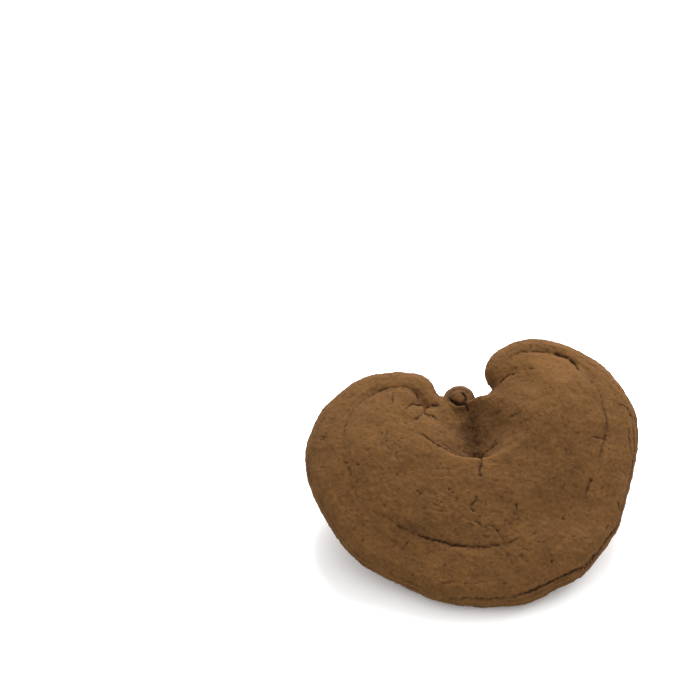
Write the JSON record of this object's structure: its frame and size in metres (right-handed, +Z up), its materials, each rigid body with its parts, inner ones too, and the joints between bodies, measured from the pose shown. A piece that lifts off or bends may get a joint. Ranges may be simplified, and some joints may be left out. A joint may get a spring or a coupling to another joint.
{
  "type": "bracket fungus",
  "caption": "Dried kidney-shaped bracket fungus with a notched, furrowed cap and a short cut stalk, dusted with brown spores; it stands on its front edge and the cut stalk.",
  "frame": {"origin": "middle of the bounding box seen from above, on the level surface that the fungus stands on", "axes": "+Z up, +X to the right as seen from the front, -Y towards the cap's front edge; the stalk is at the back"},
  "size_m": [0.1414, 0.1184, 0.046],
  "materials": {
    "spore_dusted_crust": "matte, powdery brown spore dust over a hard crust"
  },
  "bodies": {
    "root": {"fruiting_body": "spore_dusted_crust"}
  },
  "joints": []
}
